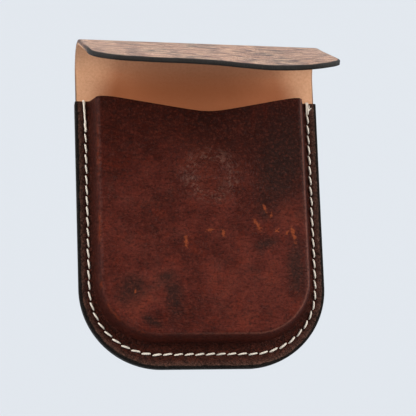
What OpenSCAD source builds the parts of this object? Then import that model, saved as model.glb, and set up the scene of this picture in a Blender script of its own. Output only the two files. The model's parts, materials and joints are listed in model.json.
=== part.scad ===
// Slim leather pocket case with a fold-over flap, lying on its back with the flap standing up.
// X runs across the case, Y from its bottom edge to its mouth and flap, Z out of its front.
// The origin is the middle of the back face of the stitched pocket.

/* [Case] */
// Width of the case across its stitched edges
case_w = 90; // [84:1:100]
// Height of the stitched pocket, from the bottom edge to the mouth
case_h = 98.7; // [90:0.1:110]
// Radius of the two bottom corners
corner_r = 29.5; // [26:0.5:32]

/* [Leather] */
// Thickness of the hide in the back, the bend and the flap
back_hide_t = 1.2; // [1:0.1:1.6]
// Thickness of the hide in the moulded front
front_hide_t = 1.6; // [1.4:0.1:2]
// Thickness of the lining
lining_t = 0.6; // [0.4:0.1:0.8]
// Line of glue left between two moulded layers
glue_t = 0.05; // [0.02:0.01:0.1]

/* [Moulded pocket] */
// Height of the flat front above the back face
front_z = 12; // [10:0.5:16]
// Width of the stitched border beside the moulded pocket
side_border = 5.1; // [4.8:0.1:7]
// Width of the stitched border below the moulded pocket
bottom_border = 9; // [8:0.1:11]
// Corner radius of the moulded pocket at its foot
foot_r = 22.5; // [20:0.5:24]
// How far the moulded wall leans in over its height, as an angle
wall_lean = 14; // [8:1:20]
// Radius of the rounded ridge between wall and front
ridge_r = 3; // [2.6:0.1:4]
// Depth of the scoop in the middle of the mouth
scoop_depth = 5.4; // [4:0.1:8]
// Half width of the scoop
scoop_half_w = 33; // [28:1:34]

/* [Bend and flap] */
// Width of the bend and the flap, which are cut a little narrower than the case
flap_w = 89; // [84:0.5:100]
// Length of plain back panel between the mouth and the start of the bend
neck = 10.1; // [8:0.1:14]
// Radius of the bend on its inner side
bend_r = 8.5; // [8.5:0.1:10]
// Angle that the bend turns the flap through as it lies
bend_angle = 114; // [105:1:120]
// Length of the flat flap past the bend
flap_l = 46; // [44:0.5:50]
// Radius of the flap's two corners
flap_corner_r = 12; // [8:0.5:16]
// Half of the gap between two neighbouring strips of the bend, on its inner side
hinge_gap = 0.15; // [0.15:0.01:0.2]

/* [Seam] */
// Distance of the stitches from the side edges
seam_side = 3.5; // [3:0.1:4]
// Distance of the stitches from the bottom edge
seam_bottom = 5; // [4.5:0.1:6]
// Radius of the seam round the bottom corners
seam_r = 24; // [22:0.5:26]
// Number of stitches in the seam
stitches = 64; // [50:1:70]
// Diameter of the waxed thread
thread_d = 0.8; // [0.6:0.1:1]

/* [Closure] */
// Height of the middle of the closure above the bottom edge
closure_y = 70; // [70:0.5:76]
// Diameter of the steel keeper under the front
keeper_d = 14; // [10:0.5:16]
// Diameter of the magnet in the flap
magnet_d = 10; // [8:0.5:12]
// Thickness of the keeper and of the magnet
disc_t = 0.7; // [0.5:0.1:0.8]

/* [Hidden] */
$fn = 48;

hide_colour = "#5a302a";
bend_colour = "#6b4038";
lining_colour = "#c49069";
thread_colour = "#eae0cc";
steel_colour = "#9aa0a6";

slack = 0.05;                                  // free play round a disc in its recess
joined = 0.3;                                  // overlap that makes a panel and the bend one solid
past = 1;                                      // how far a cutter runs past what it cuts
panel_t = back_hide_t + lining_t;              // back panel, bend and flap
flange_z = panel_t + lining_t + front_hide_t;  // top of the stitched border
bend_y = case_h + neck;                        // where the bend starts
bend_outer_r = bend_r + panel_t;
hinge_at = [bend_angle / 6, bend_angle / 2, bend_angle * 5 / 6];  // hinge lines along the bend
notch = bend_angle / 6 + 0.5;                  // half angle of the V between two strips
flap_root = hinge_at[2] - bend_angle;          // where the flap's own piece of the bend starts
magnet_y = bend_y - closure_y;                 // along the flap: over the keeper when it is shut
foot_x = case_w / 2 - side_border;             // foot of the moulded wall
arc_step = 6;

seam_x = case_w / 2 - seam_side;
seam_turn_y = seam_bottom + seam_r;            // where the sides of the seam start to turn
side_run = case_h - seam_turn_y;
turn_run = PI * seam_r / 2;
base_run = 2 * (seam_x - seam_r);
pitch = (2 * side_run + 2 * turn_run + base_run) / stitches;
stitch_l = pitch - thread_d * 0.7;
stitch_slant = 8;
bed = thread_d * 0.25;                         // how deep a stitch beds into the border

// Corner of a U outline: points of a quarter circle
function quarter(cx, cy, r, from) =
  [for (a = [0:arc_step:90]) [cx + r * cos(from + a), cy + r * sin(from + a)]];

// U outline: straight sides, flat top, two round bottom corners
function u_outline(hw, low, r, top) = concat(
  [[hw, top], [-hw, top]],
  quarter(-hw + r, low + r, r, 180),
  quarter(hw - r, low + r, r, 270));

// Place and heading of the seam at run s from the mouth on the left
function seam_at(s) =
  s < side_run ? [-seam_x, case_h - s, -90]
  : s < side_run + turn_run ? seam_turn(-1, (s - side_run) / turn_run * 90)
  : s < side_run + turn_run + base_run
    ? [-seam_x + seam_r + s - side_run - turn_run, seam_bottom, 0]
  : s < side_run + 2 * turn_run + base_run
    ? seam_turn(1, (s - side_run - turn_run - base_run) / turn_run * 90)
  : [seam_x, seam_turn_y + s - side_run - 2 * turn_run - base_run, 90];
function seam_turn(side, a) = side < 0
  ? [-seam_x + seam_r - seam_r * cos(a), seam_turn_y - seam_r * sin(a), a - 90]
  : [seam_x - seam_r + seam_r * sin(a), seam_turn_y - seam_r * cos(a), a];

// Directions at an angle round the bend, counted from the back panel
function outward(a) = [sin(a), -cos(a)];
function along(a) = [cos(a), sin(a)];

// Side of a strip at a hinge: a point on the inner face, then one past the outer face
function notch_side(a, side) =
  let (foot = bend_r * outward(a) + side * hinge_gap * along(a))
  [foot, foot + 4 * (cos(notch) * outward(a) + side * sin(notch) * along(a))];

// Smooth scoop: full depth in the middle, none at its ends
function scoop(x) = scoop_depth * (1 + cos(180 * x / scoop_half_w)) / 2;

// Everything is drawn with Y = 0 at the bottom edge, then centred on the pocket's back
module placed() translate([0, -case_h / 2, 0]) children();

// Extrudes a (Y, Z) section across the case
module across(w) translate([-w / 2, 0, 0]) rotate([90, 0, 90]) linear_extrude(w) children();

// Part of the bend between two angles, from radius r1 to r2, round a centre above y;
// its ends are notched or flat
module bend_section(y, r1, r2, a, b, notch_a, notch_b) {
  far = bend_outer_r + 6;
  translate([y, bend_outer_r]) intersection() {
    difference() {
      circle(r2);
      circle(r1);
    }
    polygon(concat(
      [[0, 0]],
      notch_a ? notch_side(a, 1) : [far * outward(a)],
      [far * outward((a + b) / 2)],
      notch_b ? [notch_side(b, -1)[1], notch_side(b, -1)[0]] : [far * outward(b)]));
  }
}

// Puts children on the bend's outer face at an angle, with Y along it and Z inwards
module on_bend(a)
  translate([0, bend_y, bend_outer_r]) rotate([a, 0, 0]) translate([0, 0, -bend_outer_r]) children();

// Flat panel with the case's outline, from the bottom edge to the start of the bend
module back_panel(t) {
  linear_extrude(t) polygon(u_outline(case_w / 2, 0, corner_r, case_h));
  translate([-flap_w / 2, case_h - joined, 0]) cube([flap_w, neck + 2 * joined, t]);
}

// Flap's flat panel, with two round corners
module flap_panel(t)
  linear_extrude(t) polygon([for (p = u_outline(flap_w / 2, -flap_l, flap_corner_r, joined)) [p[0], -p[1]]]);

// Solid bounded by the moulded wall and front: inset inwards, standing from low_z
module moulded_form(inset, foot_z, low_z) {
  r = ridge_r - min(inset, ridge_r - 0.6);
  top = front_z - inset;
  cx = (r + (top - r - foot_z) * sin(wall_lean)) / cos(wall_lean);
  wall = concat(
    [[0, low_z], [0, foot_z]],
    [for (k = [0:4]) let (a = 180 - wall_lean - k * (90 - wall_lean) / 4) [cx + r * cos(a), top - r + r * sin(a)]]);
  turn = foot_r - inset;
  x = foot_x - foot_r;
  y = bottom_border + foot_r;
  profile = concat([[turn, low_z]], wall, [[turn, top]]);
  section = [for (p = profile) [turn - p[0], p[1]]];
  for (side = [-1, 1]) {
    translate([side * x, y, 0]) rotate([0, 0, side < 0 ? 180 : 270]) rotate_extrude(angle = 90) polygon(section);
    translate([side * x, case_h + past, 0]) rotate([90, 0, 0]) linear_extrude(case_h + past - y)
      polygon([for (p = section) [side * p[0], p[1]]]);
  }
  translate([-x, y, 0]) rotate([90, 0, 90]) linear_extrude(2 * x) polygon([for (p = section) [-p[0], p[1]]]);
  translate([-x, y, low_z]) cube([2 * x, case_h + past - y, top - low_z]);
}

// Cuts the mouth: straight across the border, scooped in the middle of the front
module mouth_cut() {
  translate([-case_w, case_h, -past]) cube([2 * case_w, 4 * past, front_z + 3 * past]);
  translate([0, 0, flange_z + 1.5]) linear_extrude(front_z)
    polygon(concat(
      [[scoop_half_w, case_h + past], [-scoop_half_w, case_h + past]],
      [for (k = [-12:12]) let (x = k * scoop_half_w / 12) [x, case_h - scoop(x)]]));
}

// Shallow channel along the seam in the back, which the stitches lie in
module seam_channel() {
  half = thread_d * 0.7;
  translate([0, 0, -past]) linear_extrude(past + thread_d + bed) difference() {
    polygon(u_outline(seam_x + half, seam_bottom - half, seam_r + half, case_h + past));
    polygon(u_outline(seam_x - half, seam_bottom + half, seam_r - half, case_h + 2 * past));
  }
}

// A stitch of round thread lying at height z, slanted a little across the seam
module stitch(z) translate([0, 0, z]) rotate([0, 0, stitch_slant]) rotate([0, 90, 0])
  cylinder(h = stitch_l, d = thread_d, center = true, $fn = 16);

module back_hide() color(hide_colour) placed() {
  difference() {
    back_panel(back_hide_t);
    seam_channel();
  }
  across(flap_w) bend_section(bend_y, bend_r + lining_t, bend_outer_r, 0, hinge_at[0], false, true);
}

module back_lining() color(lining_colour) placed() {
  translate([0, 0, back_hide_t]) back_panel(lining_t);
  across(flap_w) bend_section(bend_y, bend_r, bend_r + lining_t - glue_t, 0, hinge_at[0], false, true);
}

module front_lining() color(lining_colour) placed() difference() {
  union() {
    translate([0, 0, panel_t]) linear_extrude(lining_t) polygon(u_outline(case_w / 2, 0, corner_r, case_h));
    moulded_form(front_hide_t + glue_t, panel_t + lining_t, panel_t + lining_t / 2);
  }
  moulded_form(front_hide_t + lining_t, panel_t + lining_t, panel_t - past);
  mouth_cut();
}

module front_hide() color(hide_colour) placed() difference() {
  union() {
    translate([0, 0, panel_t + lining_t]) linear_extrude(front_hide_t)
      polygon(u_outline(case_w / 2, 0, corner_r, case_h));
    moulded_form(0, flange_z, flange_z - front_hide_t / 2);
  }
  moulded_form(front_hide_t, panel_t + lining_t, panel_t + lining_t - past);
  mouth_cut();
  translate([0, closure_y, front_z - front_hide_t - past])
    cylinder(h = past + disc_t + slack, d = keeper_d + 2 * slack);
}

module front_keeper() color(steel_colour) placed()
  translate([0, closure_y, front_z - front_hide_t]) cylinder(h = disc_t, d = keeper_d);

module seam_thread() color(thread_colour) placed() for (k = [0:stitches - 1]) {
  middle = seam_at((k + 0.5) * pitch);
  hole = seam_at((k + 0.1) * pitch);
  translate([middle[0], middle[1], 0]) rotate([0, 0, middle[2]]) {
    stitch(flange_z + thread_d / 2 - bed);
    stitch(thread_d / 2);
  }
  translate([hole[0], hole[1], thread_d / 2]) cylinder(h = flange_z - bed, d = thread_d * 0.8, $fn = 16);
}

module bend_strip_hide(k) color(bend_colour) placed() across(flap_w)
  bend_section(bend_y, bend_r + lining_t, bend_outer_r, hinge_at[k], hinge_at[k + 1], true, true);

module bend_strip_lining(k) color(lining_colour) placed() across(flap_w)
  bend_section(bend_y, bend_r, bend_r + lining_t - glue_t, hinge_at[k], hinge_at[k + 1], true, true);

module bend_lower_hide() bend_strip_hide(0);
module bend_lower_lining() bend_strip_lining(0);
module bend_upper_hide() bend_strip_hide(1);
module bend_upper_lining() bend_strip_lining(1);

module flap_hide() color(bend_colour) placed() on_bend(bend_angle) {
  across(flap_w) bend_section(0, bend_r + lining_t, bend_outer_r, flap_root, 0, true, false);
  difference() {
    flap_panel(back_hide_t);
    translate([0, magnet_y, back_hide_t - disc_t - slack])
      cylinder(h = disc_t + slack + past, d = magnet_d + 2 * slack);
  }
}

module flap_lining() color(lining_colour) placed() on_bend(bend_angle) {
  across(flap_w) bend_section(0, bend_r, bend_r + lining_t - glue_t, flap_root, 0, true, false);
  translate([0, 0, back_hide_t]) flap_panel(lining_t);
}

module flap_magnet() color(steel_colour) placed() on_bend(bend_angle)
  translate([0, magnet_y, back_hide_t - disc_t]) cylinder(h = disc_t, d = magnet_d);

back_hide();
back_lining();
front_lining();
front_hide();
front_keeper();
seam_thread();
bend_lower_hide();
bend_lower_lining();
bend_upper_hide();
bend_upper_lining();
flap_hide();
flap_lining();
flap_magnet();
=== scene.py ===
import json
import functools
import math

import bmesh
import bpy
import numpy as np
from mathutils import Matrix, Vector


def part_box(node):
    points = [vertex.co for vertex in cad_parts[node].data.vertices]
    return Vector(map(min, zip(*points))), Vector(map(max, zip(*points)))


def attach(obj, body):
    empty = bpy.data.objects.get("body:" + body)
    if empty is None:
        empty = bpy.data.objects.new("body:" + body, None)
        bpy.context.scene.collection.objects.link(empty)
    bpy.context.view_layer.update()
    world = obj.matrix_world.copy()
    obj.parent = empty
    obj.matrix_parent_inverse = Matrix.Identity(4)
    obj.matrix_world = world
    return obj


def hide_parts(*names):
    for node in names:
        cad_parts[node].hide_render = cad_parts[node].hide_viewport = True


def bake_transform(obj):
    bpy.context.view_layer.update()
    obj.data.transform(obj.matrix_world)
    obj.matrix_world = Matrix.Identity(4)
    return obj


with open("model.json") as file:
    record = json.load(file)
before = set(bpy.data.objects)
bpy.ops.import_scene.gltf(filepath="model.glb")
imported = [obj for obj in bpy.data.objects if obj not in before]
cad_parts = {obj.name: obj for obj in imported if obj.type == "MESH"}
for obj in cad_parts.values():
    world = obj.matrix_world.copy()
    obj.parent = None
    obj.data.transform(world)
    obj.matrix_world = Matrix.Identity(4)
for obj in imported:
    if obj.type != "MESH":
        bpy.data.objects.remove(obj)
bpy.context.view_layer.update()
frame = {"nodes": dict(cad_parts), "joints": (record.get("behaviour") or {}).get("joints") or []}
print("frame: loaded")

mm = 0.001  # shapes are worked out in millimetres and written to the meshes in metres


# Sizes come from the frame where it has them; the others are in millimetres.

def boxOf(node):  # corners of a CAD node in millimetres
    low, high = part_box(node)
    return np.array(low) / mm, np.array(high) / mm


frontLow, frontHigh = boxOf("front_hide")
keeperLow, keeperHigh = boxOf("front_keeper")
_, flapHigh = boxOf("flap_hide")
hinges = [np.array(joint["pos_m"]) / mm for joint in frame["joints"]]

case = dict(
    halfWidth=frontHigh[0],
    low=frontLow[1],            # bottom edge
    mouth=frontHigh[1],         # top of the stitched border
    frontZ=frontHigh[2],        # moulded face
    hide=1.6,                   # front hide
    backHide=1.2,
    lining=0.6,
    glue=0.05,                  # gap between front hide and front lining
    cornerRadius=29.5,
    sideBorder=5.1,
    bottomBorder=9.0,
    footRadius=22.5,            # of the moulded wall's foot
    lean=2.0,                   # how far the wall leans in
    footFillet=1.0,
    ridgeFillet=2.1,
    crown=0.8,                  # swell of the face
)
panelT = case["backHide"] + case["lining"]
flangeZ = panelT + case["lining"] + case["hide"]

bend = dict(
    inner=8.5,
    angle=math.radians(114),
    neckHalfWidth=flapHigh[0],
    skew=math.tan(math.radians(1.3)),   # the fold runs lower on the right
    flapLength=46.0,
    flapCorner=12.0,
)
bend["outer"] = bend["inner"] + panelT
bend["start"] = hinges[0][1] - bend["inner"] * math.sin(bend["angle"] / 6)
arcLength = bend["angle"] * (bend["inner"] + panelT / 2)

seam = dict(
    side=3.5,          # from the side edges
    bottom=5.0,        # from the bottom edge
    radius=24.0,
    stitches=64,
    thread=0.72,
    slant=0.27,        # each stitch starts this much outside the line and ends inside it
)
seam["x"] = case["halfWidth"] - seam["side"]
seam["turnY"] = case["low"] + seam["bottom"] + seam["radius"]
seam["turnX"] = seam["x"] - seam["radius"]
seam["sideRun"] = case["mouth"] - seam["turnY"]
seam["turnRun"] = math.pi / 2 * seam["radius"]
seam["baseRun"] = 2 * seam["turnX"]
seam["length"] = 2 * seam["sideRun"] + 2 * seam["turnRun"] + seam["baseRun"]
seam["pitch"] = seam["length"] / seam["stitches"]


# Shapes that every piece uses.

def smooth(t):  # 3t2 - 2t3 between 0 and 1
    t = np.clip(t, 0.0, 1.0)
    return t * t * (3 - 2 * t)


def unit(v):  # v divided by its length
    return v / np.maximum(np.linalg.norm(v, axis=-1, keepdims=True), 1e-12)


def roundOver(edge, reach=1.1):
    # how far a rounded edge has dropped: 1 - sqrt(1 - (1 - edge / reach)^2), kept just short of upright
    return 1 - np.sqrt(1 - (1 - np.clip(edge / reach, 0, 1)) ** 2 * 0.98)


def quadsOf(index, flip=False):  # quads between neighbouring rows and columns of an index grid
    a, b, c, d = index[:-1, :-1], index[1:, :-1], index[1:, 1:], index[:-1, 1:]
    order = (a, d, c, b) if flip else (a, b, c, d)
    return np.stack([q.ravel() for q in order], 1)


def makeMesh(name, points, faces, values, uv, sharpAngle=50):
    # points, uv and faces as arrays, uv for each point; values holds named numbers for each point
    mesh = bpy.data.meshes.new(name)
    mesh.vertices.add(len(points))
    mesh.vertices.foreach_set("co", (points * mm).astype(np.float32).ravel())
    mesh.loops.add(faces.size)
    mesh.loops.foreach_set("vertex_index", faces.astype(np.int32).ravel())
    mesh.polygons.add(len(faces))
    mesh.polygons.foreach_set("loop_start", np.arange(0, faces.size, 4, dtype=np.int32))
    mesh.update(calc_edges=True)
    for key, numbers in values.items():
        mesh.attributes.new(key, "FLOAT", "POINT").data.foreach_set("value", numbers.astype(np.float32))
    layer = mesh.uv_layers.new(name="UVMap")
    layer.data.foreach_set("uv", (uv[faces.ravel()] * mm).astype(np.float32).ravel())
    work = bmesh.new()
    work.from_mesh(mesh)
    bmesh.ops.remove_doubles(work, verts=work.verts, dist=1e-6)
    bmesh.ops.dissolve_degenerate(work, edges=work.edges, dist=1e-7)
    bmesh.ops.recalc_face_normals(work, faces=work.faces)
    work.to_mesh(mesh)
    work.free()
    mesh.polygons.foreach_set("use_smooth", np.ones(len(mesh.polygons), bool))
    mesh.set_sharp_from_angle(angle=math.radians(sharpAngle))
    piece = bpy.data.objects.new(name, mesh)
    bpy.context.scene.collection.objects.link(piece)
    return piece


def slab(name, outer, inner, develop, edge, path, closed, bulge, steps=4, **extra):
    # A sheet of leather: outer and inner are its two faces as grids of points, and the rim between
    # them follows half an ellipse, centre + cos(a) * half thickness + sin(a) * bulge outwards.
    # develop is the flat position of each point, edge its distance from the nearest cut edge, and extra
    # holds more named values for every point of both faces.
    nu, nv = outer.shape[:2]
    index = np.arange(nu * nv).reshape(nu, nv)
    i, j = path[:, 0], path[:, 1]
    out = np.zeros((len(path), 3))
    for mask, di, dj in ((j == 0, 0, 1), (j == nv - 1, 0, -1), (i == 0, 1, 0), (i == nu - 1, -1, 0)):
        out[mask] += unit(outer[i, j] - outer[np.clip(i + di, 0, nu - 1), np.clip(j + dj, 0, nv - 1)])[mask]
    out = unit(out)
    top, low = outer[i, j], inner[i, j]
    rings, indices = [], [index[i, j]]
    for k in range(1, steps):
        a = math.pi * k / steps
        rings.append((top + low) / 2 + (top - low) / 2 * math.cos(a) + out * (bulge * math.sin(a))[:, None])
        indices.append(2 * nu * nv + (k - 1) * len(path) + np.arange(len(path)))
    indices.append(nu * nv + index[i, j])
    band = np.stack(indices, 1)
    if closed:
        band = np.vstack([band, band[:1]])
    points = np.vstack([outer.reshape(-1, 3), inner.reshape(-1, 3), *rings])
    faces = np.vstack([quadsOf(index), quadsOf(index + nu * nv, flip=True), quadsOf(band, flip=True)])

    def spread(grid):
        flat = grid.reshape(nu * nv, -1)
        return np.vstack([flat, flat, *([grid[i, j].reshape(len(path), -1)] * (steps - 1))])

    values = {"edgeMm": spread(edge).ravel()}
    for key, value in extra.items():
        values[key] = spread(value).ravel()
    return makeMesh(name, points, faces, values, spread(develop)[:, :2])


def rimPath(nu, nv, sides):
    # boundary of a grid as index pairs, walked in one direction; sides "rect" or "u" (open at the spine)
    left = np.stack([np.zeros(nv, int), np.arange(nv)[::-1]], 1)
    foot = np.stack([np.arange(nu), np.zeros(nu, int)], 1)
    right = np.stack([np.full(nv, nu - 1), np.arange(nv)], 1)
    head = np.stack([np.arange(nu)[::-1], np.full(nu, nv - 1)], 1)
    if sides == "u":
        return np.vstack([left, foot[1:], right[1:]])
    return np.vstack([left, foot[1:], right[1:], head[1:-1]])


# The case is a U-shaped grid: its columns run from the cut edge in to a middle line.

def halfRun(counts):
    # for the left half, from the mouth to the bottom's middle: whether a point is on the side, whether on
    # the base, and the fraction along its section, which is the turn if it is on neither
    section = np.repeat([0, 1, 2], counts)
    fraction = [np.linspace(0, 1, count, endpoint=k == 2) for k, count in enumerate(counts)]
    return section == 0, section == 2, np.concatenate(fraction)


def bySection(side, base, onSide, onTurn, onBase):  # the value that goes with each point's section
    return np.select([side, base], [onSide, onBase], onTurn)


def gap(start, end):  # distance between matching points, as a column
    return np.linalg.norm(end - start, axis=1)[:, None]


def mirrored(left):  # left half plus its mirror image in x, sharing the middle column
    return np.vstack([left, left[:-1][::-1] * (-1, 1)])


def uContour(halfWidth, low, radius, top, counts):
    # straight side, quarter turn, straight base: points and inward directions
    side, base, f = halfRun(counts)
    sine, cosine = np.sin(f * math.pi / 2), np.cos(f * math.pi / 2)
    x = bySection(side, base, -halfWidth, -halfWidth + radius - radius * cosine,
                  -(halfWidth - radius) * (1 - f))
    y = bySection(side, base, top - f * (top - low - radius), low + radius - radius * sine, low)
    inX = bySection(side, base, 1.0, cosine, 0.0)
    inY = bySection(side, base, 0.0, sine, 1.0)
    return mirrored(np.stack([x, y], 1)), mirrored(np.stack([inX, inY], 1))


def uSpine(top, counts, sideFoot=48.0, foot=38.0):
    # points of the middle line that the columns run to, spaced like the straight and turned sections
    side, base, f = halfRun(counts)
    low = case["low"]
    y = bySection(side, base, top - f * (top - low - sideFoot), low + sideFoot - f * (sideFoot - foot),
                  low + foot)
    return mirrored(np.stack([np.zeros_like(y), y], 1))


def seamCoords(x, y):
    # run along the seam from the mouth on the left, and distance outside it: straight down the sides,
    # radius times angle round the turns, straight along the base
    side = y >= seam["turnY"]
    base = ~side & (np.abs(x) <= seam["turnX"])
    cx = np.abs(x) - seam["turnX"]
    cy = seam["turnY"] - y
    angle = np.arctan2(cy, np.maximum(cx, 1e-9))
    half = bySection(side, base, case["mouth"] - y, seam["sideRun"] + seam["radius"] * angle,
                     seam["sideRun"] + seam["turnRun"] + seam["turnX"] - np.abs(x))
    offset = bySection(side, base, np.abs(x) - seam["x"], np.hypot(cx, cy) - seam["radius"],
                       case["low"] + seam["bottom"] - y)
    return np.where(x < 0, half, seam["length"] - half), offset


def seamSink(x, y, groove=0.24, hole=0.42):
    # how far the stitching pulls the leather in: a bell-shaped groove along the seam with a bell-shaped
    # dimple at each hole
    run, offset = seamCoords(x, y)
    phase = (run / seam["pitch"] + 0.5) % 1.0 - 0.5
    reach = smooth((case["mouth"] + 0.6 - y) / 0.6)
    return reach * (groove * np.exp(-(offset / 0.8) ** 2)
                    + hole * np.exp(-(offset / 0.55) ** 2 - (phase * seam["pitch"] / 0.55) ** 2))


# The moulded front.

scoop = dict(depth=5.5, middle=3.0, left=37.0, right=32.5)


def scoopAt(x):
    # nearly straight slopes with a rounded low point: 1 - sqrt(c + t2), eased in at both shoulders
    t = (x - scoop["middle"]) / np.where(x < scoop["middle"], -scoop["left"], scoop["right"])
    rise = (1.04 - np.sqrt(0.02 + (1.05 * np.clip(t, 0, 1.2)) ** 2)) / (1.04 - math.sqrt(0.02))
    eased = 0.5 * (rise + np.sqrt(rise ** 2 + 0.004)) - 0.01
    return scoop["depth"] * np.clip(eased, 0, 1)


def filletedProfile(corners, radii, arcSteps=9):
    # polyline whose corners are arcs of the given radii: each starts radius / tan(half the corner) from it
    points = [corners[0]]
    for before, at, after, r in zip(corners[:-2], corners[1:-1], corners[2:], radii):
        u, v = unit(before - at), unit(after - at)
        half = math.acos(np.clip(u @ v, -1, 1)) / 2
        reach = r / math.tan(half)
        centre = at + unit(u + v) * r / math.sin(half)
        start, end = at + u * reach, at + v * reach
        a0, a1 = (math.atan2(*(p - centre)[::-1]) for p in (start, end))
        turn = (a1 - a0 + math.pi) % (2 * math.pi) - math.pi
        around = a0 + turn * np.arange(arcSteps + 1) / arcSteps
        points += list(centre + r * np.stack([np.cos(around), np.sin(around)], 1))
    return np.array(points + [corners[-1]])


def wallProfile(depth):
    # (distance in from the foot, height) of the moulded wall, sunk by depth along its own normal
    lean = case["lean"]
    corners = np.array([[-1.0, flangeZ], [0, flangeZ], [lean, case["frontZ"]], [lean + 2.6, case["frontZ"]]])
    line = filletedProfile(corners, (case["footFillet"], case["ridgeFillet"]))
    tangent = unit(np.gradient(line, axis=0))
    tangent[[0, -1]] = (1, 0)
    return line + depth * np.stack([tangent[:, 1], -tangent[:, 0]], 1), line[:, 0]


printAt = (3.0, (keeperLow[1] + keeperHigh[1]) / 2 - 0.8, case["frontZ"])  # middle of the disc's print


def crownAt(x, y, w):
    # swell of the face, 1 - (1 - w)^2.2 from the ridge inwards and less at the mouth, with slow sine waves
    # and the print of the disc beneath, a bell-shaped ring
    swell = case["crown"] * (1 - (1 - w) ** 2.2) * (0.4 + 0.6 * smooth((case["mouth"] - y) / 45))
    waves = 0.10 * np.sin(x / 8.3 + 1.1) * np.sin(y / 10.7 + 0.4)
    waves += 0.07 * np.sin((x + y) / 6.1) * np.cos(y / 7.9)
    ring = np.hypot(x - printAt[0], y - printAt[1])
    printed = 0.16 * np.exp(-((ring - 7.6) / 1.3) ** 2) - 0.05 * np.exp(-(ring / 5.0) ** 2)
    return swell + smooth(w * 3) * (waves + printed)


def frontLayer(name, depth, thickness, counts, flangeRows=26, faceRows=26, detail=True):
    # one layer of the moulded front: border, wall and face as a U-shaped grid of columns
    hw, low, top = case["halfWidth"], case["low"], case["mouth"]
    edgeLine, _ = uContour(hw, low, case["cornerRadius"], top, counts)
    foot, inward = uContour(hw - case["sideBorder"], low + case["bottomBorder"], case["footRadius"], top,
                            counts)
    spine = uSpine(top, counts)

    def face(sink):
        line, flat = wallProfile(sink)
        f = np.linspace(0, 1, flangeRows, endpoint=False) ** 1.15
        start = foot - inward
        border = edgeLine[:, None] + (start - edgeLine)[:, None] * f[None, :, None]
        wall = foot[:, None] + inward[:, None] * line[None, :, 0, None]
        last = foot + inward * flat[-1]
        w = np.linspace(0, 1, faceRows + 1)[1:] ** 1.1
        middle = last[:, None] + (spine - last)[:, None] * w[None, :, None]
        xy = np.concatenate([border, wall, middle], 1)
        z = np.concatenate([np.full(border.shape[:2], flangeZ - sink),
                            np.broadcast_to(line[:, 1], wall.shape[:2]),
                            np.full(middle.shape[:2], case["frontZ"] - sink)], 1)
        w = np.concatenate([np.zeros(flangeRows + len(line)), w])[None, :]
        d = np.concatenate([-1 - (1 - f) * gap(edgeLine, start), np.broadcast_to(flat, wall.shape[:2]),
                            flat[-1] + w[:, -faceRows:] * gap(last, spine)], 1)
        return xy, z, w, d

    def solid(sink, top=False):
        xy, z, w, d = face(sink)
        x, y = xy[..., 0], xy[..., 1]
        z = z + crownAt(x, y, w)
        border = d < -0.9
        if top and detail:
            z = z - np.where(d < 0.6, seamSink(x, y), 0)
            z = z - np.where(border, 0.5 * roundOver(d + gap(edgeLine, foot)), 0)
            z = z + np.where(border, 0.05 * np.sin(y / 3.1) * np.sin(x / 2.7 + y / 5.0), 0)
        scooped = np.where(border, 0, scoopAt(x)) * smooth((y - case["mouth"] + 40) / 40)
        y = y - scooped * smooth((z - flangeZ) / 5)
        return np.stack([x, y, z], -1), d

    outer, d = solid(depth, top=True)
    inner, _ = solid(depth + thickness)
    nu, nv = outer.shape[:2]
    path = rimPath(nu, nv, "u")
    edge = d + gap(edgeLine, foot)
    _, outside = seamCoords(outer[..., 0], outer[..., 1])
    bulge = np.full(len(path), thickness * 0.16)
    return slab(name, outer, inner, outer, edge, path, False, bulge, footMm=d, outMm=outside)


print("front: shapes defined")

# The back panel, the bend and the flap.

flapWarp = dict(depth=1.35, middle=19.0, spread=17.0)


def bendPlace(x, s, depth):
    # place of a point of the flat leather: x across it, s up it, depth in from its outer face. Past the
    # fold line it goes round a circle and then straight up the flap, which is a little warped.
    start = bend["start"] - x * bend["skew"]
    q = s - start
    a = np.clip(q, 0, arcLength) / arcLength * bend["angle"]
    r = bend["outer"] - depth
    y = start + r * np.sin(a)
    z = bend["outer"] - r * np.cos(a)
    past = np.clip(q - arcLength, 0, None)
    warp = flapWarp["depth"] * np.exp(-((x - flapWarp["middle"]) / flapWarp["spread"]) ** 2)
    warp = warp - 0.35 - 0.6 * smooth((x - 26) / 18)
    warp = warp * smooth(past / 40) - 0.5 * smooth(past / 30) * smooth((-x - 20) / 30)
    along = np.stack([np.zeros_like(a), np.cos(a), np.sin(a)], -1)
    inwards = np.stack([np.zeros_like(a), -np.sin(a), np.cos(a)], -1)
    flat = np.stack([x, np.where(q < 0, s, y), np.where(q < 0, depth, z)], -1)
    return flat + along * past[..., None] + inwards * warp[..., None]


def halfWidthAt(s):  # the leather narrows a little above the stitched border
    step = smooth((s - case["mouth"] + 0.4) / 1.2)
    return case["halfWidth"] + (bend["neckHalfWidth"] - case["halfWidth"]) * step


def wander(t, seed, size=0.08):  # uneven hand-cut line: a sum of three sines of different lengths
    total = 0
    for k, (length, strength) in enumerate(((13.0, 1.0), (6.1, 0.7), (3.1, 0.4))):
        total = total + strength * np.sin(2 * math.pi * t / length + seed * (k + 1.7))
    return size * total


backBand = dict(side=6.5, bottom=8.5, radius=23.0)  # inner line of the finely divided outer band


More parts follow.
